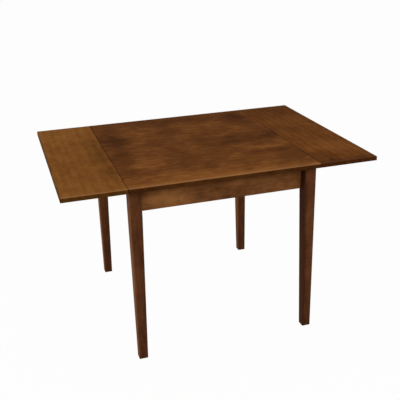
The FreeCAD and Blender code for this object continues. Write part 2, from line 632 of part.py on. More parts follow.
# Leaf ends: the leaf with its hinges and stays
def leaf_end(end, sign, turn):
    """Everything that hangs from one end of the centre panel."""
    outward = FreeCAD.Rotation(Z_AXIS, 180 - turn)
    inward = FreeCAD.Rotation(Z_AXIS, 360 - turn)
    hinge_x = f"{sign} * {HINGE_X}"
    hinge_ys = [f"{step} * {HINGE_Y}" for step in (-1, 0, 1)]
    node(
        copies(f"{end}_frame_plates", frame_plate, [(hinge_x, y, HINGE_Z, inward) for y in hinge_ys]),
        f"{end}_hinge_frame_plates",
    )
    node(
        copies(f"{end}_leaf_plates", leaf_plate, [(hinge_x, y, HINGE_Z, outward) for y in hinge_ys]),
        f"{end}_hinge_leaf_plates",
    )
    pin_spots = [(hinge_x, f"{y} - {half_width}", HINGE_Z, ALONG["+Y"]) for y in hinge_ys]
    node(copies(f"{end}_pins", hinge_pin, pin_spots), f"{end}_hinge_pins")
    screw_z = f"{UNDERSIDE} - Sizes.hinge_plate"
    bores = {}
    for part, way in (("frame", -1), ("leaf", 1)):
        screw_x = f"{sign} * ({HINGE_X} + {way} * Sizes.hinge_screw_setback)"
        spots = [
            (screw_x, f"{y} + {step} * Sizes.hinge_screw_pitch", screw_z)
            for y in hinge_ys
            for step in (-1, 0, 1)
        ]
        bores[part] = fasteners(f"{end}_hinge_{part}_screws", hinge_screw, hinge_screw_bore, spots)
    centre_bores.append(bores["frame"])

    frame_x = f"{sign} * {FRAME_PIVOT_X}"
    leaf_x = f"{sign} * {LEAF_PIVOT_X}"
    knee_x = f"{sign} * {KNEE_X}"
    to_leaf = ALONG["+X" if sign > 0 else "-X"]
    to_frame = ALONG["-X" if sign > 0 else "+X"]
    arm_angle = ARM_SLOPE if sign > 0 else f"180 - {ARM_SLOPE}"
    link_angle = f"180 - {LINK_SLOPE}" if sign > 0 else LINK_SLOPE
    ear_mid = "Sizes.stay_plate / 2"
    frame_brackets = []
    leaf_brackets = []
    arms = []
    links = []
    rivets = {"frame": [], "leaf": [], "knee": []}
    frame_screws = []
    leaf_screws = []
    for side in SIDES:
        frame_y = f"{layer(side, 0)} + {ear_mid}"
        leaf_y = f"{layer(side, 3)} + {ear_mid}"
        frame_brackets.append((f"{sign} * {APRON_X}", frame_y, FRAME_PIVOT_Z, to_leaf))
        leaf_brackets.append((leaf_x, leaf_y, UNDERSIDE, ALONG["-Z"]))
        arms.append(swung(arm, frame_x, layer(side, 1), FRAME_PIVOT_Z, arm_angle))
        links.append(swung(link, leaf_x, layer(side, 2), LEAF_PIVOT_Z, link_angle))
        rivets["frame"].append((frame_x, layer(side, 0), FRAME_PIVOT_Z, ALONG["+Y"]))
        rivets["knee"].append((knee_x, layer(side, 1), KNEE_Z, ALONG["+Y"]))
        leaf_face = f"{layer(side, 3)} + Sizes.stay_plate"
        rivets["leaf"].append((leaf_x, leaf_face, LEAF_PIVOT_Z, ALONG["-Y"]))
        for step in SIDES:
            pitch = f"{step} * Sizes.bracket_screw_pitch / 2"
            foot_face = f"{sign} * ({APRON_X} + Sizes.stay_plate)"
            frame_screws.append((foot_face, f"{frame_y} + {pitch}", FRAME_PIVOT_Z, to_frame))
            leaf_foot = f"{UNDERSIDE} - Sizes.stay_plate"
            leaf_screws.append((leaf_x, f"{leaf_y} + {pitch}", leaf_foot, ALONG["+Z"]))
    node(copies(f"{end}_frame_brackets", frame_bracket, frame_brackets), f"{end}_stay_frame_brackets")
    node(copies(f"{end}_leaf_brackets", leaf_bracket, leaf_brackets), f"{end}_stay_leaf_brackets")
    node(group(f"{end}_arms", arms), f"{end}_stay_arms")
    node(group(f"{end}_links", links), f"{end}_stay_links")
    for pivot, spots in rivets.items():
        node(copies(f"{end}_{pivot}_rivets", rivet, spots), f"{end}_stay_{pivot}_rivets")
    end_apron_bores[end] = fasteners(
        f"{end}_stay_frame_screws", wood_screw, wood_screw_bore, frame_screws
    )
    stay_leaf_bores = fasteners(f"{end}_stay_leaf_screws", wood_screw, wood_screw_bore, leaf_screws)

    label = f"{end}_leaf"
    near = "(Sizes.joint_gap / 2)"
    far = f"({near} + Sizes.leaf_length)"
    body = doc.addObject("PartDesign::Body", f"{label}_body")
    sketch = rectangle(
        body, f"{label}_sketch", near, "-Sizes.table_depth / 2", far, "Sizes.table_depth / 2"
    )
    block = pad(body, f"{label}_pad", sketch, "Sizes.slab_thickness")
    outer = block.Shape.BoundBox

    def outer_edge(edge):
        """Tells the upper and upright edges that show once the leaf is in place."""
        middle = edge.BoundBox.Center
        at_joint = abs(middle.x - outer.XMin) < outer.XLength / 4
        at_top = abs(middle.z - outer.ZMax) < outer.ZLength / 4
        return not at_joint and (at_top or upright(edge))

    round_edges(body, f"{label}_round", block, "Sizes.slab_round", outer_edge)
    place(body, hinge_x, "0", UNDERSIDE, outward)
    node(cut(label, body, [bores["leaf"], stay_leaf_bores]), label)


for end, sign, turn in ENDS:
    leaf_end(end, sign, turn)


# Centre panel: rounded along its two long upper edges only, since the leaves meet its ends
def centre_panel():
    """The fixed middle of the top."""
    body = doc.addObject("PartDesign::Body", "centre_top_body")
    half_length = "Sizes.centre_length / 2"
    half_depth = "Sizes.table_depth / 2"
    sketch = rectangle(
        body, "centre_top_sketch", f"-{half_length}", f"-{half_depth}", half_length, half_depth
    )
    block = pad(body, "centre_top_pad", sketch, "Sizes.slab_thickness")
    outer = block.Shape.BoundBox

    def long_upper_edge(edge):
        """Tells the two upper edges at the front and the back."""
        middle = edge.BoundBox.Center
        at_top = abs(middle.z - outer.ZMax) < outer.ZLength / 4
        at_side = abs(middle.y) > outer.YLength / 4
        return at_top and at_side

    round_edges(body, "centre_top_round", block, "Sizes.slab_round", long_upper_edge)
    place(body, "0", "0", UNDERSIDE)
    node(cut("centre_top", body, centre_bores), "centre_top")


centre_panel()


# Aprons: boards between the legs, mitred behind them at the corners of the frame
def apron(label, leg_gap, reach, angle, tools):
    """One apron with its outer face on local Y 0, facing -Y, turned about the table's middle."""
    body = doc.addObject("PartDesign::Body", f"{label}_body")
    mitre = f"({leg_gap} - Sizes.apron_thickness + Sizes.apron_lap)"
    points = [
        (f"-{leg_gap}", "0"),
        (leg_gap, "0"),
        (leg_gap, "Sizes.apron_lap"),
        (mitre, "Sizes.apron_thickness"),
        (f"-{mitre}", "Sizes.apron_thickness"),
        (f"-{leg_gap}", "Sizes.apron_lap"),
    ]
    pad(body, f"{label}_pad", outline(body, f"{label}_sketch", points), "Sizes.apron_height")
    turn = FreeCAD.Rotation(Z_AXIS, angle)
    facing = turn.multVec(-Y_AXIS)
    place(body, f"{round(facing.x)} * {reach}", f"{round(facing.y)} * {reach}", APRON_Z, turn)
    node(cut(label, body, tools), label)


shared_bores = [bolt_bores, brace_screw_bores, top_bracket_bores]
apron("front_apron", LEG_INNER_X, APRON_Y, 0, shared_bores)
apron("right_apron", LEG_INNER_Y, APRON_X, 90, shared_bores + [end_apron_bores["right"]])
apron("back_apron", LEG_INNER_X, APRON_Y, 180, shared_bores)
apron("left_apron", LEG_INNER_Y, APRON_X, 270, shared_bores + [end_apron_bores["left"]])

doc.recompute()

# Check every object, then write one file for each sub-part
for obj in doc.Objects:
    if "Invalid" in obj.State or "Error" in obj.State:
        raise RuntimeError(f"{obj.Name} did not build: {obj.State}")
os.makedirs("parts", exist_ok=True)
for obj in nodes:
    if obj.Shape.isNull() or not obj.Shape.isValid():
        raise RuntimeError(f"{obj.Label} has no valid shape")
    obj.Shape.exportStep(f"parts/{obj.Label}.step")
    print(obj.Label, len(obj.Shape.Solids), round(obj.Shape.Volume))
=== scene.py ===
import json
import math

import bmesh
import bpy
from bpy.props import FloatProperty, FloatVectorProperty, PointerProperty
from bpy.types import Operator, Panel, PropertyGroup
from mathutils import Matrix, Vector


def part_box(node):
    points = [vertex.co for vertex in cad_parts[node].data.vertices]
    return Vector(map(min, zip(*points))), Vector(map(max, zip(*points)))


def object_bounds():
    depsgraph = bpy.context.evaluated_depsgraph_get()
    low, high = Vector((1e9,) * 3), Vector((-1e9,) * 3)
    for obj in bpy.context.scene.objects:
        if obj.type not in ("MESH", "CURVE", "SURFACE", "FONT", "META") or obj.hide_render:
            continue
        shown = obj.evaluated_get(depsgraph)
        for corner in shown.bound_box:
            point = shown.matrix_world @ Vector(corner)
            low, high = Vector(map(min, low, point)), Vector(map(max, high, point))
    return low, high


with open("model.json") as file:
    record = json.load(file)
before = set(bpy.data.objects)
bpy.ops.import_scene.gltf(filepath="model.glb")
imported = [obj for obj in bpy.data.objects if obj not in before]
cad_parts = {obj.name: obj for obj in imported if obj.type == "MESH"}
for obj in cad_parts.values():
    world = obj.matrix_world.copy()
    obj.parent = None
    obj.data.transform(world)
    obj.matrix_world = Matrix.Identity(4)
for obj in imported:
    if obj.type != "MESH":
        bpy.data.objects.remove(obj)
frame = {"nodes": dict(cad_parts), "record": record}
CAD_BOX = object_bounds()

bl_info = {
    "name": "Drop-leaf dining table",
    "version": (1, 0, 0),
    "blender": (4, 5, 0),
    "location": "View3D > Sidebar > Table",
    "description": "Finishes and studio for a walnut-stained drop-leaf dining table",
    "category": "Object",
}

MM = 0.001
ALONG_X, ALONG_Y, ALONG_Z = range(3)
TOP_FACE = CAD_BOX[1].z
UNDER_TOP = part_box("centre_top")[0].z
LONG_APRONS = ("front_apron", "back_apron")
SHORT_APRONS = ("left_apron", "right_apron")

# Width of the camera's sensor, in millimetres
SENSOR_WIDTH = 36
# Scale at which a wave texture has one wave in each unit
ONE_WAVE = 0.314
# Nearly all of a noise texture lies between these values
NOISE_LOW = 0.3
NOISE_HIGH = 0.7


def linear(code):
    """Turns an sRGB hex value into linear red, green and blue."""
    parts = [int(code[i:i + 2], 16) / 255 for i in (1, 3, 5)]
    return tuple(c / 12.92 if c <= 0.04045 else ((c + 0.055) / 1.055) ** 2.4 for c in parts)


def tone(name, code, description):
    """A colour that a user can change, from an sRGB hex value."""
    return FloatVectorProperty(
        name=name, description=description, subtype="COLOR", size=3, min=0, max=1, default=linear(code)
    )


def length(name, millimetres, description):
    """A length that a user can change, given in millimetres and kept in metres."""
    return FloatProperty(
        name=name, description=description, unit="LENGTH", min=0, default=millimetres * MM
    )


def spot(name, at, description):
    """A place that a user can change, in metres."""
    return FloatVectorProperty(
        name=name, description=description, subtype="TRANSLATION", unit="LENGTH", size=3, default=at
    )


def angle(name, radians, description):
    """An angle that a user can change."""
    return FloatProperty(name=name, description=description, subtype="ANGLE", default=radians)


def power(name, watts, description):
    """The power of a lamp, which a user can change."""
    return FloatProperty(name=name, description=description, unit="POWER", min=0, default=watts)


class TableWoodSettings(PropertyGroup):
    """Colours and grain sizes of the wood."""

    top_dark: tone("Top, dark", "#4a280f", "Darkest stain on the centre panel")
    top_middle: tone("Top, middle", "#6b3e1b", "Usual stain on the centre panel")
    top_light: tone("Top, light", "#945d2b", "Lightest stain on the centre panel")
    left_dark: tone("Left leaf, dark", "#613914", "Darkest stain on the left leaf")
    left_middle: tone("Left leaf, middle", "#7b4c1f", "Usual stain on the left leaf")
    left_light: tone("Left leaf, light", "#915d2a", "Lightest stain on the left leaf")
    right_dark: tone("Right leaf, dark", "#4c280f", "Darkest stain on the right leaf")
    right_middle: tone("Right leaf, middle", "#6a3d18", "Usual stain on the right leaf")
    right_light: tone("Right leaf, light", "#855124", "Lightest stain on the right leaf")
    # Colour of the highlight painted along the front edge of the top
    painted_highlight: tone("Edge highlight", "#b78a5e", "Wood that shows through along the front edge of the top")
    leg_dark: tone("Legs, dark", "#432515", "Darkest stain on the legs")
    leg_middle: tone("Legs, middle", "#5f3821", "Usual stain on the legs")
    leg_light: tone("Legs, light", "#784b2d", "Lightest stain on the legs")
    apron_dark: tone("Aprons, dark", "#503019", "Darkest stain on the aprons")
    apron_middle: tone("Aprons, middle", "#754a29", "Usual stain on the aprons")
    apron_light: tone("Aprons, light", "#906036", "Lightest stain on the aprons")
    pine_dark: tone("Pine, dark", "#b58a55", "Late wood of the corner braces")
    pine_light: tone("Pine, light", "#d9b884", "Early wood of the corner braces")

    blotch_long: length("Blotch length", 160, "Length of a large cloud of stain along the grain")
    blotch_wide: length("Blotch width", 150, "Width of a large cloud of stain across the grain")
    mottle_long: length("Mottle length", 66, "Length of a small cloud of stain along the grain")
    mottle_wide: length("Mottle width", 50, "Width of a small cloud of stain across the grain")
    fleck_long: length("Fleck length", 36, "Length of a fine fleck of stain along the grain")
    fleck_wide: length("Fleck width", 13, "Width of a fine fleck of stain across the grain")
    fibre_long: length("Fibre length", 110, "Length of a streak of fibres")
    fibre_wide: length("Fibre width", 5, "Width of a streak of fibres")
    pore_long: length("Pore length", 14, "Length of an open pore")
    pore_wide: length("Pore width", 0.8, "Width of an open pore")
    ring_long: length("Ring length", 476, "Length of a bend in the growth rings along the grain")
    ring_gap: length("Ring spacing", 34, "Spacing of the growth rings across the grain")
    # Along the front edge of the top the colour is lighter over the wider band, and a highlight is painted
    # over the narrower one
    lighter_front_wide: length("Lighter band", 70, "Width of the band along the front edge where the stain is lighter")
    highlight_wide: length("Highlight band", 24, "Width of the band along the front edge where wood shows through")
    line_wide: length("Edge line", 4, "Width of the dark line of stain along the joints and ends")
    # Depth of the band of painted shade right under the top
    shade_deep: length("Shade under the top", 50, "Depth of the darker band of stain right under the top")
    pine_ring_long: length("Pine ring length", 90, "Length of a bend in the growth rings of the braces")
    pine_ring_gap: length("Pine ring spacing", 6, "Spacing of the growth rings of the braces")
    saw_mark: length("Saw mark", 1.6, "Size of a tuft that the saw left on the braces")


class TableHardwareSettings(PropertyGroup):
    """Colours and grain sizes of the steel hardware and the foot glides."""

    nickel_dark: tone("Nickel, dark", "#8f8a80", "Dull clouds in the nickel plating")
    nickel_light: tone("Nickel, light", "#b7b1a6", "Clear nickel plating")
    zinc_dark: tone("Zinc, dark", "#b4b7b9", "Dull clouds in the zinc plating")
    zinc_light: tone("Zinc, light", "#d6d7d4", "Clear zinc plating")
    nylon_dark: tone("Nylon, dark", "#38251a", "Moulded face of the foot glides")
    nylon_light: tone("Nylon, light", "#5a4233", "Scuffed face of the foot glides")

    plating_cloud: length("Plating cloud", 12, "Size of a faint cloud in the plating")
    nickel_grit: length("Nickel grain", 0.5, "Size of a grain in the nickel plating")
    zinc_grit: length("Zinc grain", 0.35, "Size of a crystal in the zinc plating")
    nylon_grit: length("Nylon grain", 0.6, "Size of a grain that the mould left on the nylon")
    nylon_scuff: length("Nylon scuff", 5, "Size of a scuff on the nylon")


class TableStudioSettings(PropertyGroup):
    """Camera, light and floor around the table."""

    camera_at: spot("Camera", (-0.7642, -2.5494, 1.5555), "Place of the camera")
    heading: angle("Heading", 0.29802, "Turn of the camera from +Y towards +X")
    pitch: angle("Pitch", -0.38903, "Tilt of the camera above the level")
    roll: angle("Roll", 0.02639, "Lean of the camera to the right")
    lens: FloatProperty(
        name="Focal length", description="Focal length of the camera", unit="CAMERA", default=60.587
    )
    front_at: spot("Front lamp", (0.5, -3.3, 2.5), "Place of the large lamp before the table")
    front_side: length("Front lamp side", 2200, "Side of the square front lamp")
    front_power: power("Front lamp power", 55, "Power of the front lamp")
    side_at: spot("Side lamp", (-3.4, 0.7, 1.4), "Place of the low lamp at the left end")
    side_side: length("Side lamp side", 1600, "Side of the square side lamp")
    side_power: power("Side lamp power", 42, "Power of the side lamp")
    sky_level: FloatProperty(
        name="Sky level", description="Strength of the even light from all round", min=0, default=0.515
    )
    floor_side: length("Floor", 80000, "Side of the square floor")
    floor_tone: tone("Floor colour", "#dedbd5", "Colour of the floor")
    white_share: FloatProperty(
        name="White share", description="Share of plain white in the floor that the camera sees",
        subtype="FACTOR", min=0, max=1, default=0.97,
    )


def new_material(name):
    """An empty node material; returns it with its tree and its output node."""
    material = bpy.data.materials.new(name)
    material.use_nodes = True
    tree = material.node_tree
    tree.nodes.clear()
    return material, tree, tree.nodes.new("ShaderNodeOutputMaterial")


def add(tree, kind, sockets, **settings):
    """Adds a node with its settings; each socket takes a value or, from an output, a link."""
    made = tree.nodes.new(kind)
    for name, value in settings.items():
        setattr(made, name, value)
    for socket, value in sockets.items():
        if isinstance(value, bpy.types.NodeSocket):
            tree.links.new(value, made.inputs[socket])
        else:
            made.inputs[socket].default_value = value
    return made


def in_slot(slot):
    """Names of the CAD nodes in one material slot of the record."""
    return [part["node"] for part in frame["record"]["subparts"] if part["material_slot"] == slot]


def paint(nodes, material):
    """Gives CAD nodes a material in place of their plain one."""
    for name in nodes:
        for slot in frame["nodes"][name].material_slots:
            slot.material = material


# Stained wood. Real thing: rubberwood boards and veneer, sanded, wiped with a walnut stain and sealed
# with matt lacquer. The stain soaks in unevenly, so the eye sees soft clouds along the grain, faint
# growth rings and streaks of fibre, under a low even sheen. Cut edges drink more stain and turn dark,
# and stain gathers along the joints. Right under the top a band of shade is painted on, and along the
# front edge of the top the colour is lighter, with a highlight painted on the edge itself.
class StainedWood:
    """One stained wood, laid pattern by pattern on a node tree."""

    lacquer_ior = 1.47
    # A patch fades from rim_full to rim_none of its reach, and blotches make that rim wander
    rim_wander = 0.9
    rim_full = 0.5
    rim_none = 1.45
    # A face is a cut edge where its normal rises less than edge_rise, and flat from flat_rise on
    edge_rise = 0.15
    flat_rise = 0.9
    # A pore is deepest where its noise is under pore_bottom, and gives back pore_light of the light there
    pore_bottom = 0.33
    pore_rim = 0.47
    pore_light = 0.74
    # Fibres make the lacquer rougher or smoother by this much, and stand this high beside the pores
    rougher = 0.06
    smoother = 0.05
    fibre_height = 0.6
    bump_strength = 0.15
    bump_depth = 0.2 * MM

    def __init__(self, name, shades, along, seed, blend):
        """Takes three shades, the axis of the grain, a seed and how strongly each pattern shows."""
        self.sizes = bpy.context.scene.table_wood
        self.shades = shades
        self.blend = blend
        self.material, self.tree, self.output = new_material(name)
        self.place = add(self.tree, "ShaderNodeTexCoord", {})
        self.axes = add(self.tree, "ShaderNodeSeparateXYZ", {0: self.place.outputs["Object"]})
        self.patterns = self.lay_patterns(along, seed)
        self.value = self.mix_patterns()
        self.soak_and_shade = 1.0
        self.painted_highlight = None

    def lay_patterns(self, along, seed):
        """Lays the clouds, fibres, pores and growth rings, each on cells of its own size."""
        sizes = self.sizes

        def cells(long, wide, shift):
            """Settings of coordinates on which a cell is that long along the grain and that wide."""
            scale = [1 / wide] * 3
            scale[along] = 1 / long
            return {
                "Vector": self.place.outputs["Object"],
                "Location": (seed + shift, seed * 1.7 + shift, seed * 0.6 - shift),
                "Scale": scale,
            }

        # Length and width of a cell, a shift that keeps the patterns apart, distortion and detail.
        # Real fibres and pores are under 1 mm wide; they are drawn coarser so that the render shows them.
        clouds = {
            "blotch": (sizes.blotch_long, sizes.blotch_wide, 3.1, 0.3, 3),
            "mottle": (sizes.mottle_long, sizes.mottle_wide, 5.3, 0.3, 5),
            "fleck": (sizes.fleck_long, sizes.fleck_wide, 23.9, 0.3, 3),
            "fibre": (sizes.fibre_long, sizes.fibre_wide, 11.3, 0.5, 4),
            "pore": (sizes.pore_long, sizes.pore_wide, 17.9, 0, 2),
        }
        patterns = {}
        for name, (long, wide, shift, distortion, detail) in clouds.items():
            grid = add(self.tree, "ShaderNodeMapping", cells(long, wide, shift))
            cloud = add(self.tree, "ShaderNodeTexNoise", {
                "Vector": grid.outputs["Vector"], "Scale": 1, "Detail": detail, "Roughness": 0.6,
                "Distortion": distortion,
            })
            patterns[name] = cloud.outputs["Fac"]
        grid = add(self.tree, "ShaderNodeMapping", cells(sizes.ring_long, sizes.ring_gap, 7.7))
        rings = add(self.tree, "ShaderNodeTexWave", {
            "Vector": grid.outputs["Vector"], "Scale": ONE_WAVE, "Distortion": 9,
            "Detail": 3, "Detail Scale": 0.6, "Detail Roughness": 0.6,
        }, bands_direction="X" if along == ALONG_Y else "Y")
        patterns["rings"] = rings.outputs["Fac"]
        return patterns

    def mix_patterns(self):
        """Adds up the patterns, each by its share, round the level of the stain."""
        value = self.blend["level"]
        for name in ("blotch", "mottle", "fleck", "fibre", "rings"):
            swing = add(self.tree, "ShaderNodeMath", {
                0: self.patterns[name], 1: 0.5
            }, operation="SUBTRACT")
            value = add(self.tree, "ShaderNodeMath", {
                0: swing.outputs[0], 1: self.blend[name], 2: value
            }, operation="MULTIPLY_ADD").outputs[0]
        return value

    def spread(self, patches):
        """Adds patches of uneven stain and of painted light and shade, each darker or lighter: middle,
        reach and strength.
        """
        for middle, reach, strength in patches:
            local = add(self.tree, "ShaderNodeMapping", {
                "Vector": self.place.outputs["Object"],
                "Location": [-m / r for m, r in zip(middle, reach)],
                "Scale": [1 / r for r in reach],
            })
            far = add(self.tree, "ShaderNodeVectorMath", {0: local.outputs["Vector"]}, operation="LENGTH")
            wander = add(self.tree, "ShaderNodeMath", {
                0: self.patterns["blotch"], 1: self.rim_wander, 2: far.outputs["Value"]
            }, operation="MULTIPLY_ADD")
            fade = add(self.tree, "ShaderNodeMapRange", {
                "Value": wander.outputs[0], "From Min": self.rim_full, "From Max": self.rim_none,
                "To Min": strength, "To Max": 0,
            }, interpolation_type="SMOOTHSTEP")
            self.value = add(self.tree, "ShaderNodeMath", {
                0: self.value, 1: fade.outputs[0]
            }, operation="ADD").outputs[0]

    def paint_shade_under_top(self):
        """Paints shade on the band right under the top, darker towards the top."""
        self.soak_and_shade = add(self.tree, "ShaderNodeMapRange", {
            "Value": self.axes.outputs["Z"],
            "From Min": UNDER_TOP - self.sizes.shade_deep, "From Max": UNDER_TOP,
            "To Min": 1, "To Max": self.blend["under_top_shade"],
        }, interpolation_type="SMOOTHSTEP").outputs[0]

    def highlight_and_stain_edges(self, node):
        """Lightens the front edge of a panel of the top and paints a highlight along it, and darkens its
        other edges.
        """
        low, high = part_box(node)
        facing = add(self.tree, "ShaderNodeSeparateXYZ", {0: self.place.outputs["Normal"]})
        rise = add(self.tree, "ShaderNodeMath", {0: facing.outputs["Z"]}, operation="ABSOLUTE")
        self.lighten_front_and_highlight(low, rise.outputs[0])
        self.stain_edges(low, high, rise.outputs[0])

    def lighten_front_and_highlight(self, low, rise):
        """Makes the colour lighter over the last stretch before the front edge, on the flat faces, and
        keeps the narrower band where a highlight is painted.
        """
        lightened = []
        for wide, most in (
            (self.sizes.lighter_front_wide, self.blend["lighter_front"]),
            (self.sizes.highlight_wide, self.blend["edge_highlight"]),
        ):
            band = add(self.tree, "ShaderNodeMapRange", {
                "Value": self.axes.outputs["Y"], "From Min": low.y + wide, "From Max": low.y,
                "To Min": 0, "To Max": most,
            }, interpolation_type="SMOOTHSTEP")
            lightened.append(add(self.tree, "ShaderNodeMath", {
                0: band.outputs[0], 1: rise
            }, operation="MULTIPLY").outputs[0])
        lighter, self.painted_highlight = lightened
        self.value = add(self.tree, "ShaderNodeMath", {
            0: self.value, 1: lighter
        }, operation="ADD").outputs[0]

    def stain_edges(self, low, high, rise):
        """Draws an uneven dark line along the joint, the end and the rear edge, and darkens cut edges."""
        across = add(self.tree, "ShaderNodeMath", {
            0: self.axes.outputs["X"], 1: (low.x + high.x) / 2
        }, operation="SUBTRACT")
        sideways = add(self.tree, "ShaderNodeMath", {0: across.outputs[0]}, operation="ABSOLUTE")
        to_end = add(self.tree, "ShaderNodeMath", {
            0: (high.x - low.x) / 2, 1: sideways.outputs[0]
        }, operation="SUBTRACT")
        to_rear = add(self.tree, "ShaderNodeMath", {
            0: high.y, 1: self.axes.outputs["Y"]
        }, operation="SUBTRACT")
        nearest = add(self.tree, "ShaderNodeMath", {
            0: to_end.outputs[0], 1: to_rear.outputs[0]
        }, operation="MINIMUM")
        # The mottle adds about one width of the line, so the line ends about one width from the edge
        wide = self.sizes.line_wide
        uneven = add(self.tree, "ShaderNodeMath", {
            0: self.patterns["mottle"], 1: wide * 2, 2: nearest.outputs[0]
        }, operation="MULTIPLY_ADD")
        line = add(self.tree, "ShaderNodeMapRange", {
            "Value": uneven.outputs[0], "From Min": wide * 1.2, "From Max": wide * 2,
            "To Min": self.blend["line"], "To Max": 1,
        }, interpolation_type="SMOOTHSTEP")
        edge = add(self.tree, "ShaderNodeMapRange", {
            "Value": rise, "From Min": self.edge_rise, "From Max": self.flat_rise,
            "To Min": self.blend["edge"], "To Max": 1,
        })
        self.soak_and_shade = add(self.tree, "ShaderNodeMath", {
            0: line.outputs[0], 1: edge.outputs[0]
        }, operation="MULTIPLY").outputs[0]

    def finished(self):
        """Turns the stain into colour, sheen and relief, and returns the material."""
        ramp = add(self.tree, "ShaderNodeValToRGB", {"Fac": self.value})
        dark, middle, light = self.shades
        ramp.color_ramp.elements[0].color = (*dark, 1)
        ramp.color_ramp.elements[1].color = (*light, 1)
        ramp.color_ramp.elements.new(0.5).color = (*middle, 1)
        # A mix of colours takes its share in socket 0 and the colours in 6 and 7, and gives output 2
        colour = ramp.outputs["Color"]
        # A highlight is painted along the front edge of the top
        if self.painted_highlight is not None:
            colour = add(self.tree, "ShaderNodeMix", {
                0: self.painted_highlight, 6: colour, 7: (*self.sizes.painted_highlight, 1)
            }, data_type="RGBA").outputs[2]
        # Pores are thin and take up more stain than the wood round them
        pitted = add(self.tree, "ShaderNodeMapRange", {
            "Value": self.patterns["pore"], "From Min": self.pore_bottom, "From Max": self.pore_rim,
            "To Min": self.pore_light, "To Max": 1,
        })
        # This takes in the dark lines and cut edges on the panels, and the painted shade right under the
        # top on the legs and aprons
        stain = add(self.tree, "ShaderNodeMath", {
            0: pitted.outputs[0], 1: self.soak_and_shade
        }, operation="MULTIPLY")
        colour = add(self.tree, "ShaderNodeMix", {
            0: 1.0, 6: colour, 7: stain.outputs[0]
        }, data_type="RGBA", blend_type="MULTIPLY").outputs[2]

        sheen = add(self.tree, "ShaderNodeMapRange", {
            "Value": self.patterns["fibre"], "From Min": NOISE_LOW, "From Max": NOISE_HIGH,
            "To Min": self.blend["roughness"] + self.rougher,
            "To Max": self.blend["roughness"] - self.smoother,
        })
        relief = add(self.tree, "ShaderNodeMath", {
            0: self.patterns["fibre"], 1: self.fibre_height, 2: pitted.outputs[0]
        }, operation="MULTIPLY_ADD")
        bump = add(self.tree, "ShaderNodeBump", {
            "Height": relief.outputs[0], "Strength": self.bump_strength, "Distance": self.bump_depth
        })
        shader = add(self.tree, "ShaderNodeBsdfPrincipled", {
            "Base Color": colour, "Roughness": sheen.outputs[0], "Normal": bump.outputs[0],
            "IOR": self.lacquer_ior, "Specular IOR Level": self.blend["gloss"],
        })
        self.tree.links.new(shader.outputs[0], self.output.inputs["Surface"])
        return self.material


# How strongly each pattern shows. Level is where the stain lies between the dark shade at 0 and the
# light one at 1. For the top, two entries lighten a band along the front edge and paint a highlight on
# the edge itself, and line and edge are the share of light that is left along the joints and on cut
# edges. On the legs and aprons one more entry is the share left in the painted shade right under the top.
TOP_BLEND = {
    "level": 0.5, "blotch": 0.6, "mottle": 0.75, "fleck": 0.6, "fibre": 0.35, "rings": 0.08,
    "lighter_front": 0.3, "edge_highlight": 0.3, "line": 0.64, "edge": 0.33, "roughness": 0.75, "gloss": 0.012,
}
LEFT_BLEND = {
    "level": 0.66, "blotch": 0.8, "mottle": 0.8, "fleck": 0.6, "fibre": 0.6, "rings": 0.15,
    "lighter_front": 0.2, "edge_highlight": 0.2, "line": 0.64, "edge": 0.36, "roughness": 0.75, "gloss": 0.012,
}
RIGHT_BLEND = {
    "level": 0.61, "blotch": 0.6, "mottle": 0.6, "fleck": 0.6, "fibre": 0.6, "rings": 0.15,
    "lighter_front": 0.0, "edge_highlight": 0.07, "line": 0.64, "edge": 0.7, "roughness": 0.75, "gloss": 0.012,
}
LEG_BLEND = {
    "level": 0.5, "blotch": 0.5, "mottle": 0.5, "fleck": 0.5, "fibre": 0.9, "rings": 0.2,
    "under_top_shade": 0.7, "roughness": 0.55, "gloss": 0.012,
}
APRON_BLEND = {
    "level": 0.48, "blotch": 0.5, "mottle": 0.8, "fleck": 0.9, "fibre": 0.55, "rings": 0.1,
    "under_top_shade": 0.28, "roughness": 0.75, "gloss": 0.012,
}

# A reach, in metres, that takes in the whole table
ALL = 50


def on_top(x, y, reach_x, reach_y, strength):
    """A patch on the upper face: its middle and reach in metres; below 0 it is darker."""
    return (x, y, TOP_FACE), (reach_x, reach_y, ALL), strength


CENTRE_PATCHES = (
    # Dark along the left joint, with a lighter stretch beside it
    on_top(-0.305, 0.06, 0.085, 0.42, -0.42),
    on_top(-0.215, 0.20, 0.11, 0.17, 0.18),
    # Behind the middle, darker again by the right joint
    on_top(-0.065, 0.23, 0.05, 0.16, -0.15),
    on_top(0.115, 0.23, 0.14, 0.15, 0.1),
    on_top(0.295, 0.26, 0.07, 0.20, -0.3),
    on_top(0.05, 0.38, 0.60, 0.14, -0.2),
    # Dark on the right, with lighter streaks through it
    on_top(0.20, -0.01, 0.28, 0.11, -0.3),
    on_top(0.145, 0.062, 0.09, 0.02, 0.2),
    on_top(0.25, -0.145, 0.13, 0.025, 0.2),
    on_top(0.26, -0.20, 0.13, 0.045, -0.3),
    # Lighter towards the front
    on_top(-0.235, -0.175, 0.13, 0.13, 0.2),
    on_top(-0.035, -0.317, 0.06, 0.06, -0.2),
    on_top(-0.08, -0.37, 0.42, 0.12, 0.22),
)
LEFT_PATCHES = (
    # Darker along the joint, lighter at the outer rear corner
    on_top(-0.39, -0.1, 0.07, 0.5, -0.35),
    on_top(-0.50, 0.36, 0.20, 0.22, 0.2),
)
RIGHT_PATCHES = (
    # Darker at the rear, by the joint and along the front edge, lighter between them
    on_top(0.48, 0.38, 0.30, 0.22, -0.22),
    on_top(0.42, -0.36, 0.09, 0.14, -0.3),
    on_top(0.50, -0.25, 0.12, 0.13, 0.3),
    on_top(0.48, -0.43, 0.40, 0.055, -0.6),
)
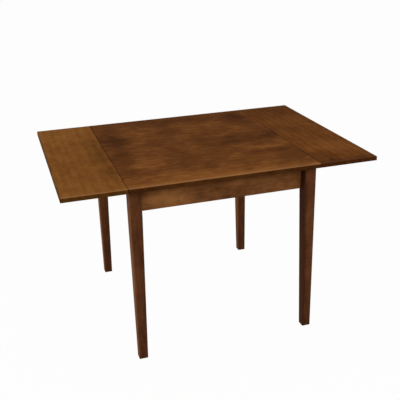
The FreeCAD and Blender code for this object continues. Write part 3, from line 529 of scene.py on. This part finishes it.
# Light and shade painted on the legs
LEG_PAINTED_LIGHT_AND_SHADE = (
    # Painted shade: darker towards all feet
    ((0, 0, 0), (ALL, ALL, 0.4), -0.36),
    # Painted shade near the top of the front legs, and painted light all over the back legs
    ((-0.34, -0.37, 0.58), (1.6, 0.2, 0.22), -0.25),
    ((0, 0.37, 0.3), (ALL, 0.15, ALL), 0.24),
    # Painted shade along the inner side of the front right leg, in its upper and its lower part
    ((0.314, -0.37, 0.45), (0.016, 0.1, 0.5), -1.2),
    ((0.324, -0.37, 0.15), (0.014, 0.1, 0.4), -1.2),
    # Painted light on the left faces of the left legs and of the back right leg
    ((-0.366, 0, 0.35), (0.012, ALL, ALL), 0.7),
    ((0.32, 0.37, 0.35), (0.013, 0.1, ALL), 0.6),
)
APRON_TONES_AND_SHADE = (
    # Lighter at the left of the front apron; there the painted shade right under the top is deepened, with
    # a paler band below it
    ((-0.2, -0.355, 0.63), (0.13, 1, 1), 0.35),
    ((-0.25, -0.355, 0.7), (0.1, 1, 0.03), -0.6),
    ((-0.25, -0.355, 0.645), (0.08, 1, 0.035), 0.5),
    # Darker in the middle, with a paler spot in the painted shade near its upper edge
    ((0.0, -0.355, 0.63), (0.15, 1, 1), -0.25),
    ((0.03, -0.355, 0.667), (0.12, 1, 0.025), 0.5),
    # Darker all along the lower edge
    ((0.0, -0.355, 0.604), (5, 1, 0.05), -0.2),
)


class TABLE_OT_finish_top(Operator):
    """Stains the centre panel and the two leaves"""

    bl_idname = "table.finish_top"
    bl_label = "Finish the top"

    def execute(self, context):
        wood = context.scene.table_wood
        centre = StainedWood(
            "Walnut-stained rubberwood veneer, centre panel",
            (wood.top_dark, wood.top_middle, wood.top_light), ALONG_X, 2.0, TOP_BLEND,
        )
        left = StainedWood(
            "Walnut-stained rubberwood veneer, left leaf",
            (wood.left_dark, wood.left_middle, wood.left_light), ALONG_Y, 5.0, LEFT_BLEND,
        )
        right = StainedWood(
            "Walnut-stained rubberwood veneer, right leaf",
            (wood.right_dark, wood.right_middle, wood.right_light), ALONG_Y, 9.0, RIGHT_BLEND,
        )
        for node, veneer, patches in (
            ("centre_top", centre, CENTRE_PATCHES),
            ("left_leaf", left, LEFT_PATCHES),
            ("right_leaf", right, RIGHT_PATCHES),
        ):
            veneer.spread(patches)
            # Lightens the front edge and paints a highlight along it, and stains the other edges dark
            veneer.highlight_and_stain_edges(node)
            paint([node], veneer.finished())
        return {"FINISHED"}


class TABLE_OT_finish_legs(Operator):
    """Stains the four legs, with their grain upright"""

    bl_idname = "table.finish_legs"
    bl_label = "Finish the legs"

    def execute(self, context):
        wood = context.scene.table_wood
        shades = (wood.leg_dark, wood.leg_middle, wood.leg_light)
        legs = StainedWood("Walnut-stained rubberwood, legs", shades, ALONG_Z, 13.0, LEG_BLEND)
        # Light and shade painted on the legs
        legs.spread(LEG_PAINTED_LIGHT_AND_SHADE)
        # Painted shade right under the top
        legs.paint_shade_under_top()
        paint(in_slot("leg_wood"), legs.finished())
        return {"FINISHED"}


class TABLE_OT_finish_aprons(Operator):
    """Stains the four aprons, with their grain along each board"""

    bl_idname = "table.finish_aprons"
    bl_label = "Finish the aprons"

    def execute(self, context):
        wood = context.scene.table_wood
        shades = (wood.apron_dark, wood.apron_middle, wood.apron_light)
        boards = StainedWood("Walnut-stained rubberwood, long aprons", shades, ALONG_X, 21.0, APRON_BLEND)
        # Patches of tone on the long aprons, some of them shaping the painted shade right under the top
        boards.spread(APRON_TONES_AND_SHADE)
        # Painted shade right under the top
        boards.paint_shade_under_top()
        paint(LONG_APRONS, boards.finished())
        ends = StainedWood("Walnut-stained rubberwood, short aprons", shades, ALONG_Y, 25.0, APRON_BLEND)
        # Painted shade right under the top
        ends.paint_shade_under_top()
        paint(SHORT_APRONS, ends.finished())
        return {"FINISHED"}


class TABLE_OT_finish_braces(Operator):
    """Gives the corner braces under the top their bare sawn wood"""

    bl_idname = "table.finish_braces"
    bl_label = "Finish the corner braces"

    def execute(self, context):
        # Pine, sawn and left bare: pale yellow wood with clear growth rings and a dull, slightly hairy face
        wood = context.scene.table_wood
        material, tree, output = new_material("Sawn pine, corner braces")
        place = add(tree, "ShaderNodeTexCoord", {})
        grid = add(tree, "ShaderNodeMapping", {
            "Vector": place.outputs["Object"],
            "Scale": (1 / wood.pine_ring_long, 1 / wood.pine_ring_long, 1 / wood.pine_ring_gap),
        })
        rings = add(tree, "ShaderNodeTexWave", {
            "Vector": grid.outputs["Vector"], "Scale": ONE_WAVE, "Distortion": 3, "Detail": 2
        }, bands_direction="Z")
        tufts = add(tree, "ShaderNodeTexNoise", {
            "Vector": place.outputs["Object"], "Scale": 1 / wood.saw_mark, "Detail": 3
        })
        tint = add(tree, "ShaderNodeValToRGB", {"Fac": rings.outputs["Fac"]})
        tint.color_ramp.elements[0].color = (*wood.pine_dark, 1)
        tint.color_ramp.elements[1].color = (*wood.pine_light, 1)
        rough = add(tree, "ShaderNodeMapRange", {
            "Value": tufts.outputs["Fac"], "From Min": NOISE_LOW, "From Max": NOISE_HIGH,
            "To Min": 0.7, "To Max": 0.9,
        })
        bump = add(tree, "ShaderNodeBump", {
            "Height": tufts.outputs["Fac"], "Strength": 0.4, "Distance": 0.3 * MM
        })
        shader = add(tree, "ShaderNodeBsdfPrincipled", {
            "Base Color": tint.outputs["Color"], "Roughness": rough.outputs[0], "Normal": bump.outputs[0]
        })
        tree.links.new(shader.outputs[0], output.inputs["Surface"])
        paint(in_slot("brace_wood"), material)
        return {"FINISHED"}


def plated_steel(name, dark, light, cloud_size, grit, roughness):
    """Plated steel: two shades of the plating, the sizes of its clouds and grain, and its roughness."""
    material, tree, output = new_material(name)
    place = add(tree, "ShaderNodeTexCoord", {})
    cloud = add(tree, "ShaderNodeTexNoise", {
        "Vector": place.outputs["Object"], "Scale": 1 / cloud_size, "Detail": 3
    })
    grain = add(tree, "ShaderNodeTexNoise", {
        "Vector": place.outputs["Object"], "Scale": 1 / grit, "Detail": 2
    })
    tint = add(tree, "ShaderNodeValToRGB", {"Fac": cloud.outputs["Fac"]})
    tint.color_ramp.elements[0].position = NOISE_LOW
    tint.color_ramp.elements[0].color = (*dark, 1)
    tint.color_ramp.elements[1].position = NOISE_HIGH
    tint.color_ramp.elements[1].color = (*light, 1)
    rough = add(tree, "ShaderNodeMapRange", {
        "Value": grain.outputs["Fac"], "From Min": NOISE_LOW, "From Max": NOISE_HIGH,
        "To Min": roughness - 0.08, "To Max": roughness + 0.1,
    })
    bump = add(tree, "ShaderNodeBump", {
        "Height": grain.outputs["Fac"], "Strength": 0.15, "Distance": 0.05 * MM
    })
    shader = add(tree, "ShaderNodeBsdfPrincipled", {
        "Base Color": tint.outputs["Color"], "Metallic": 1.0,
        "Roughness": rough.outputs[0], "Normal": bump.outputs[0],
    })
    tree.links.new(shader.outputs[0], output.inputs["Surface"])
    return material


class TABLE_OT_finish_hardware(Operator):
    """Plates the hinges, stays, top brackets and fasteners"""

    bl_idname = "table.finish_hardware"
    bl_label = "Finish the hardware"

    def execute(self, context):
        metal = context.scene.table_hardware
        # Pressed steel with dull nickel: warm grey, soft broad highlights, faint clouds in the plating
        paint(in_slot("bracket_steel"), plated_steel(
            "Nickel-plated pressed steel", metal.nickel_dark, metal.nickel_light,
            metal.plating_cloud, metal.nickel_grit, 0.38,
        ))
        # Turned steel with bright zinc: cooler and brighter, with a fine crystal grain
        paint(in_slot("zinc_steel"), plated_steel(
            "Zinc-plated turned steel", metal.zinc_dark, metal.zinc_light,
            metal.plating_cloud, metal.zinc_grit, 0.3,
        ))
        return {"FINISHED"}


class TABLE_OT_finish_glides(Operator):
    """Gives the foot glides their moulded nylon"""

    bl_idname = "table.finish_glides"
    bl_label = "Finish the foot glides"

    def execute(self, context):
        # Moulded nylon: even brown with a fine matt grain from the mould and a few lighter scuffs
        nylon = context.scene.table_hardware
        material, tree, output = new_material("Moulded nylon, foot glides")
        place = add(tree, "ShaderNodeTexCoord", {})
        grain = add(tree, "ShaderNodeTexNoise", {
            "Vector": place.outputs["Object"], "Scale": 1 / nylon.nylon_grit, "Detail": 2
        })
        scuff = add(tree, "ShaderNodeTexNoise", {
            "Vector": place.outputs["Object"], "Scale": 1 / nylon.nylon_scuff, "Detail": 4
        })
        tint = add(tree, "ShaderNodeValToRGB", {"Fac": scuff.outputs["Fac"]})
        tint.color_ramp.elements[0].position = 0.35
        tint.color_ramp.elements[0].color = (*nylon.nylon_dark, 1)
        tint.color_ramp.elements[1].position = 0.75
        tint.color_ramp.elements[1].color = (*nylon.nylon_light, 1)
        rough = add(tree, "ShaderNodeMapRange", {
            "Value": grain.outputs["Fac"], "From Min": NOISE_LOW, "From Max": NOISE_HIGH,
            "To Min": 0.45, "To Max": 0.65,
        })
        bump = add(tree, "ShaderNodeBump", {
            "Height": grain.outputs["Fac"], "Strength": 0.2, "Distance": 0.1 * MM
        })
        shader = add(tree, "ShaderNodeBsdfPrincipled", {
            "Base Color": tint.outputs["Color"], "Roughness": rough.outputs[0],
            "Normal": bump.outputs[0], "IOR": 1.53, "Specular IOR Level": 0.15,
        })
        tree.links.new(shader.outputs[0], output.inputs["Surface"])
        paint(in_slot("glide_plastic"), material)
        return {"FINISHED"}


class TABLE_OT_set_stage(Operator):
    """Sets the floor, the lamps, the even light and the camera"""

    bl_idname = "table.set_stage"
    bl_label = "Set the stage"

    def execute(self, context):
        scene = context.scene
        studio = scene.table_studio
        self.lay_floor(scene, studio)
        self.light_room(scene, studio)
        self.hang_lamp(scene, "front_lamp", studio.front_at, studio.front_side, studio.front_power)
        self.hang_lamp(scene, "side_lamp", studio.side_at, studio.side_side, studio.side_power)
        self.stand_camera(scene, studio)
        scene.view_settings.view_transform = "Standard"
        return {"FINISHED"}

    def seen(self, tree):
        """A value that is 1 for what the camera sees, directly, in a reflection or through glass."""
        path = add(tree, "ShaderNodeLightPath", {})
        mirrored = add(tree, "ShaderNodeMath", {
            0: path.outputs["Is Camera Ray"], 1: path.outputs["Is Glossy Ray"]
        }, operation="ADD")
        return add(tree, "ShaderNodeMath", {
            0: mirrored.outputs[0], 1: path.outputs["Is Transmission Ray"]
        }, operation="ADD", use_clamp=True).outputs[0]

    def lay_floor(self, scene, studio):
        """A pale painted floor, nearly white to the camera, that keeps a soft shadow."""
        mesh = bpy.data.meshes.new("studio_floor")
        shape = bmesh.new()
        bmesh.ops.create_grid(shape, x_segments=8, y_segments=8, size=studio.floor_side / 2)
        shape.to_mesh(mesh)
        shape.free()
        floor = bpy.data.objects.new("studio_floor", mesh)
        scene.collection.objects.link(floor)
        # Floor paint, rolled on: an even, matt off-white
        material, tree, output = new_material("Matt white floor paint")
        share = add(tree, "ShaderNodeMath", {
            0: self.seen(tree), 1: studio.white_share
        }, operation="MULTIPLY")
        matt = add(tree, "ShaderNodeBsdfDiffuse", {"Color": (*studio.floor_tone, 1)})
        white = add(tree, "ShaderNodeEmission", {"Color": (1, 1, 1, 1), "Strength": 1})
        both = add(tree, "ShaderNodeMixShader", {
            0: share.outputs[0], 1: matt.outputs[0], 2: white.outputs[0]
        })
        # Seen from underneath, the floor is clear, so that it doesn't hide the underside of the table
        side = add(tree, "ShaderNodeNewGeometry", {})
        clear = add(tree, "ShaderNodeBsdfTransparent", {})
        one_sided = add(tree, "ShaderNodeMixShader", {
            0: side.outputs["Backfacing"], 1: both.outputs[0], 2: clear.outputs[0]
        })
        tree.links.new(one_sided.outputs[0], output.inputs["Surface"])
        mesh.materials.append(material)

    def light_room(self, scene, studio):
        """Even light from all round, white where the camera looks past the floor."""
        world = bpy.data.worlds.new("studio")
        scene.world = world
        world.use_nodes = True
        tree = world.node_tree
        tree.nodes.clear()
        even = add(tree, "ShaderNodeBackground", {"Color": (1, 1, 1, 1), "Strength": studio.sky_level})
        white = add(tree, "ShaderNodeBackground", {"Color": (1, 1, 1, 1), "Strength": 1})
        both = add(tree, "ShaderNodeMixShader", {
            0: self.seen(tree), 1: even.outputs[0], 2: white.outputs[0]
        })
        add(tree, "ShaderNodeOutputWorld", {"Surface": both.outputs[0]})

    def hang_lamp(self, scene, name, at, side, watts):
        """A square soft lamp that looks at the middle of the top."""
        light = bpy.data.lights.new(name, "AREA")
        light.shape = "SQUARE"
        light.size = side
        light.energy = watts
        lamp = bpy.data.objects.new(name, light)
        aim = Vector((0, 0, TOP_FACE)) - Vector(at)
        lamp.matrix_world = Matrix.Translation(at) @ aim.to_track_quat("-Z", "Y").to_matrix().to_4x4()
        scene.collection.objects.link(lamp)

    def stand_camera(self, scene, studio):
        """A camera at the viewing angle of the picture."""
        data = bpy.data.cameras.new("camera")
        data.sensor_fit = "HORIZONTAL"
        data.sensor_width = SENSOR_WIDTH
        data.lens = studio.lens
        camera = bpy.data.objects.new("camera", data)
        turn = Matrix.Rotation(-studio.heading, 4, "Z")
        tilt = Matrix.Rotation(math.pi / 2 + studio.pitch, 4, "X")
        lean = Matrix.Rotation(-studio.roll, 4, "Z")
        camera.matrix_world = Matrix.Translation(studio.camera_at) @ turn @ tilt @ lean
        scene.collection.objects.link(camera)
        scene.camera = camera


STEPS = (
    TABLE_OT_finish_top,
    TABLE_OT_finish_legs,
    TABLE_OT_finish_aprons,
    TABLE_OT_finish_braces,
    TABLE_OT_finish_hardware,
    TABLE_OT_finish_glides,
    TABLE_OT_set_stage,
)


class TABLE_PT_build(Panel):
    """Lists the steps that finish the table, and its sizes and colours"""

    bl_idname = "TABLE_PT_build"
    bl_label = "Drop-leaf table"
    bl_space_type = "VIEW_3D"
    bl_region_type = "UI"
    bl_category = "Table"

    def draw(self, context):
        scene = context.scene
        for step in STEPS:
            self.layout.operator(step.bl_idname)
        for settings in (scene.table_wood, scene.table_hardware, scene.table_studio):
            box = self.layout.box()
            for name in type(settings).__annotations__:
                box.prop(settings, name)


CLASSES = (TableWoodSettings, TableHardwareSettings, TableStudioSettings, *STEPS, TABLE_PT_build)


def register():
    for cls in CLASSES:
        bpy.utils.register_class(cls)
    bpy.types.Scene.table_wood = PointerProperty(type=TableWoodSettings)
    bpy.types.Scene.table_hardware = PointerProperty(type=TableHardwareSettings)
    bpy.types.Scene.table_studio = PointerProperty(type=TableStudioSettings)


def unregister():
    del bpy.types.Scene.table_studio
    del bpy.types.Scene.table_hardware
    del bpy.types.Scene.table_wood
    for cls in reversed(CLASSES):
        bpy.utils.unregister_class(cls)


def main():
    """Runs the steps in order."""
    register()
    bpy.ops.table.finish_top()
    bpy.ops.table.finish_legs()
    bpy.ops.table.finish_aprons()
    bpy.ops.table.finish_braces()
    bpy.ops.table.finish_hardware()
    bpy.ops.table.finish_glides()
    bpy.ops.table.set_stage()


if __name__ == "__main__":
    main()
